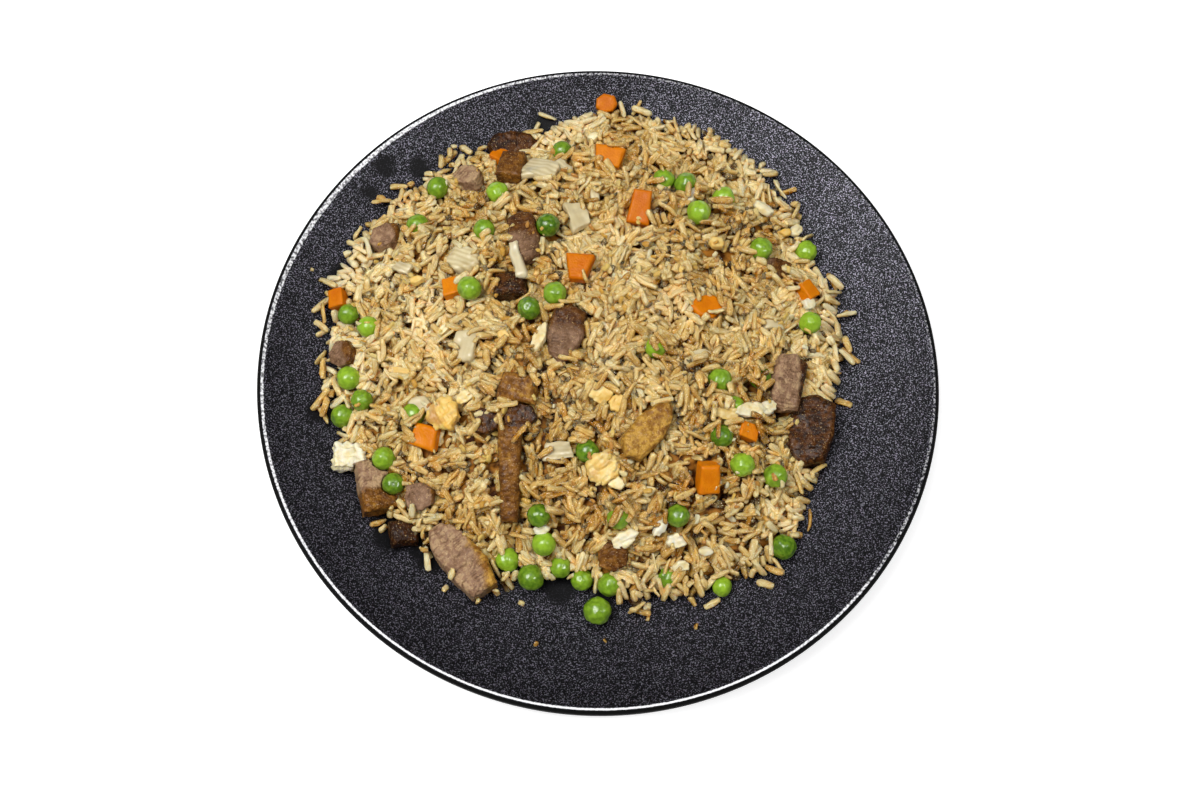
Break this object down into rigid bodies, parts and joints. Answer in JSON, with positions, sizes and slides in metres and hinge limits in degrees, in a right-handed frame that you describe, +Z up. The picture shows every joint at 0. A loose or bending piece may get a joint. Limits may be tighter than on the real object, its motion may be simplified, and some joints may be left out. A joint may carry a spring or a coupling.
{
  "type": "fried rice plate",
  "caption": "Mound of fried rice with peas, diced carrot, roast pork, scrambled egg and onion on a round matt black coupe plate.",
  "frame": {"origin": "centre of the plate's foot ring, on the table", "axes": "+Z up out of the plate; -Y is the side of the plate nearest the diner"},
  "size_m": [0.24, 0.24, 0.0433],
  "materials": {
    "plate_glaze": "matt black stoneware glaze with fine grey speckle and a bare bright line round the lip",
    "rice": "cooked long-grain rice fried in oil, glossy, from cream to golden brown",
    "pea": "cooked green pea skin, glossy and a little wrinkled",
    "carrot": "cooked diced carrot, moist",
    "pork": "roast pork, browned and glazed outside, greyish pink and fibrous where cut",
    "egg": "scrambled egg, pale yellow and cream, folded",
    "onion": "cooked onion, translucent cream, ribbed"
  },
  "bodies": {
    "root": {"plate": "plate_glaze", "rice_heap": "rice", "pea_01": "pea", "pea_02": "pea", "pea_03": "pea", "pea_04": "pea", "pea_05": "pea", "pea_06": "pea", "pea_07": "pea", "pea_08": "pea", "pea_09": "pea", "pea_10": "pea", "pea_11": "pea", "pea_12": "pea", "pea_13": "pea", "pea_14": "pea", "pea_15": "pea", "pea_16": "pea", "pea_17": "pea", "pea_18": "pea", "pea_19": "pea", "pea_20": "pea", "pea_21": "pea", "pea_22": "pea", "pea_23": "pea", "pea_24": "pea", "pea_25": "pea", "pea_26": "pea", "pea_27": "pea", "pea_28": "pea", "pea_29": "pea", "pea_30": "pea", "pea_31": "pea", "carrot_01": "carrot", "carrot_02": "carrot", "carrot_03": "carrot", "carrot_04": "carrot", "carrot_05": "carrot", "carrot_06": "carrot", "carrot_07": "carrot", "pork_01": "pork", "pork_02": "pork", "pork_03": "pork", "pork_04": "pork", "pork_05": "pork", "pork_06": "pork", "pork_07": "pork", "pork_08": "pork", "pork_09": "pork", "pork_10": "pork", "pork_11": "pork", "pork_12": "pork", "pork_13": "pork", "egg_01": "egg", "egg_02": "egg", "egg_03": "egg", "onion_01": "onion", "onion_02": "onion"}
  },
  "joints": []
}
